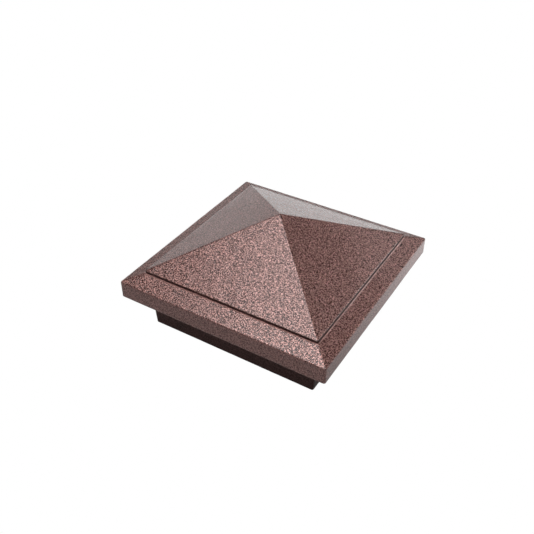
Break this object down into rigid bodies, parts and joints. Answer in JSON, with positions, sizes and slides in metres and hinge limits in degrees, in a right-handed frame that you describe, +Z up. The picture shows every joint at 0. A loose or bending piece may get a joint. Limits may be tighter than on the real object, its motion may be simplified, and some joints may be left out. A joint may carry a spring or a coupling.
{
  "type": "fence post cap",
  "caption": "Pyramid cap with a square socket and cored brim for a timber or sleeved fence post, clamped by driven-in side screws.",
  "frame": {"origin": "centre of the socket's mouth, on the lower edge of the skirt", "axes": "+Z up along the post towards the crown's tip; X through the two fixing screws; Y square to both"},
  "size_m": [0.118, 0.118, 0.0586],
  "materials": {
    "coat": "copper-vein textured powder coat, satin, on a die casting",
    "screw_steel": "stainless, bright",
    "washer_steel": "stainless, rolled sheet",
    "seal_rubber": "matt black EPDM"
  },
  "bodies": {
    "cap": {"cap_casting": "coat"},
    "right_washer": {"washer_plate_right": "washer_steel", "washer_seal_right": "seal_rubber"},
    "right_screw": {"screw_right": "screw_steel"},
    "left_washer": {"washer_plate_left": "washer_steel", "washer_seal_left": "seal_rubber"},
    "left_screw": {"screw_left": "screw_steel"}
  },
  "joints": [
    {"name": "right_advance", "type": "slide", "parent": "cap", "child": "right_washer", "axis": [-1, 0, 0], "range_m": [0, 0.00378]},
    {"name": "right_turn", "type": "hinge", "parent": "right_washer", "child": "right_screw", "pos_m": [0.0542, 0, 0.0161], "axis": [-1, 0, 0], "range_deg": [0, 975]},
    {"name": "left_advance", "type": "slide", "parent": "cap", "child": "left_washer", "axis": [1, 0, 0], "range_m": [0, 0.00378]},
    {"name": "left_turn", "type": "hinge", "parent": "left_washer", "child": "left_screw", "pos_m": [-0.0542, 0, 0.0161], "axis": [1, 0, 0], "range_deg": [0, 975]}
  ],
  "couplings": [
    {"joint": "right_turn", "follows": "right_advance", "rad_per_m": 4488},
    {"joint": "left_turn", "follows": "left_advance", "rad_per_m": 4488}
  ]
}
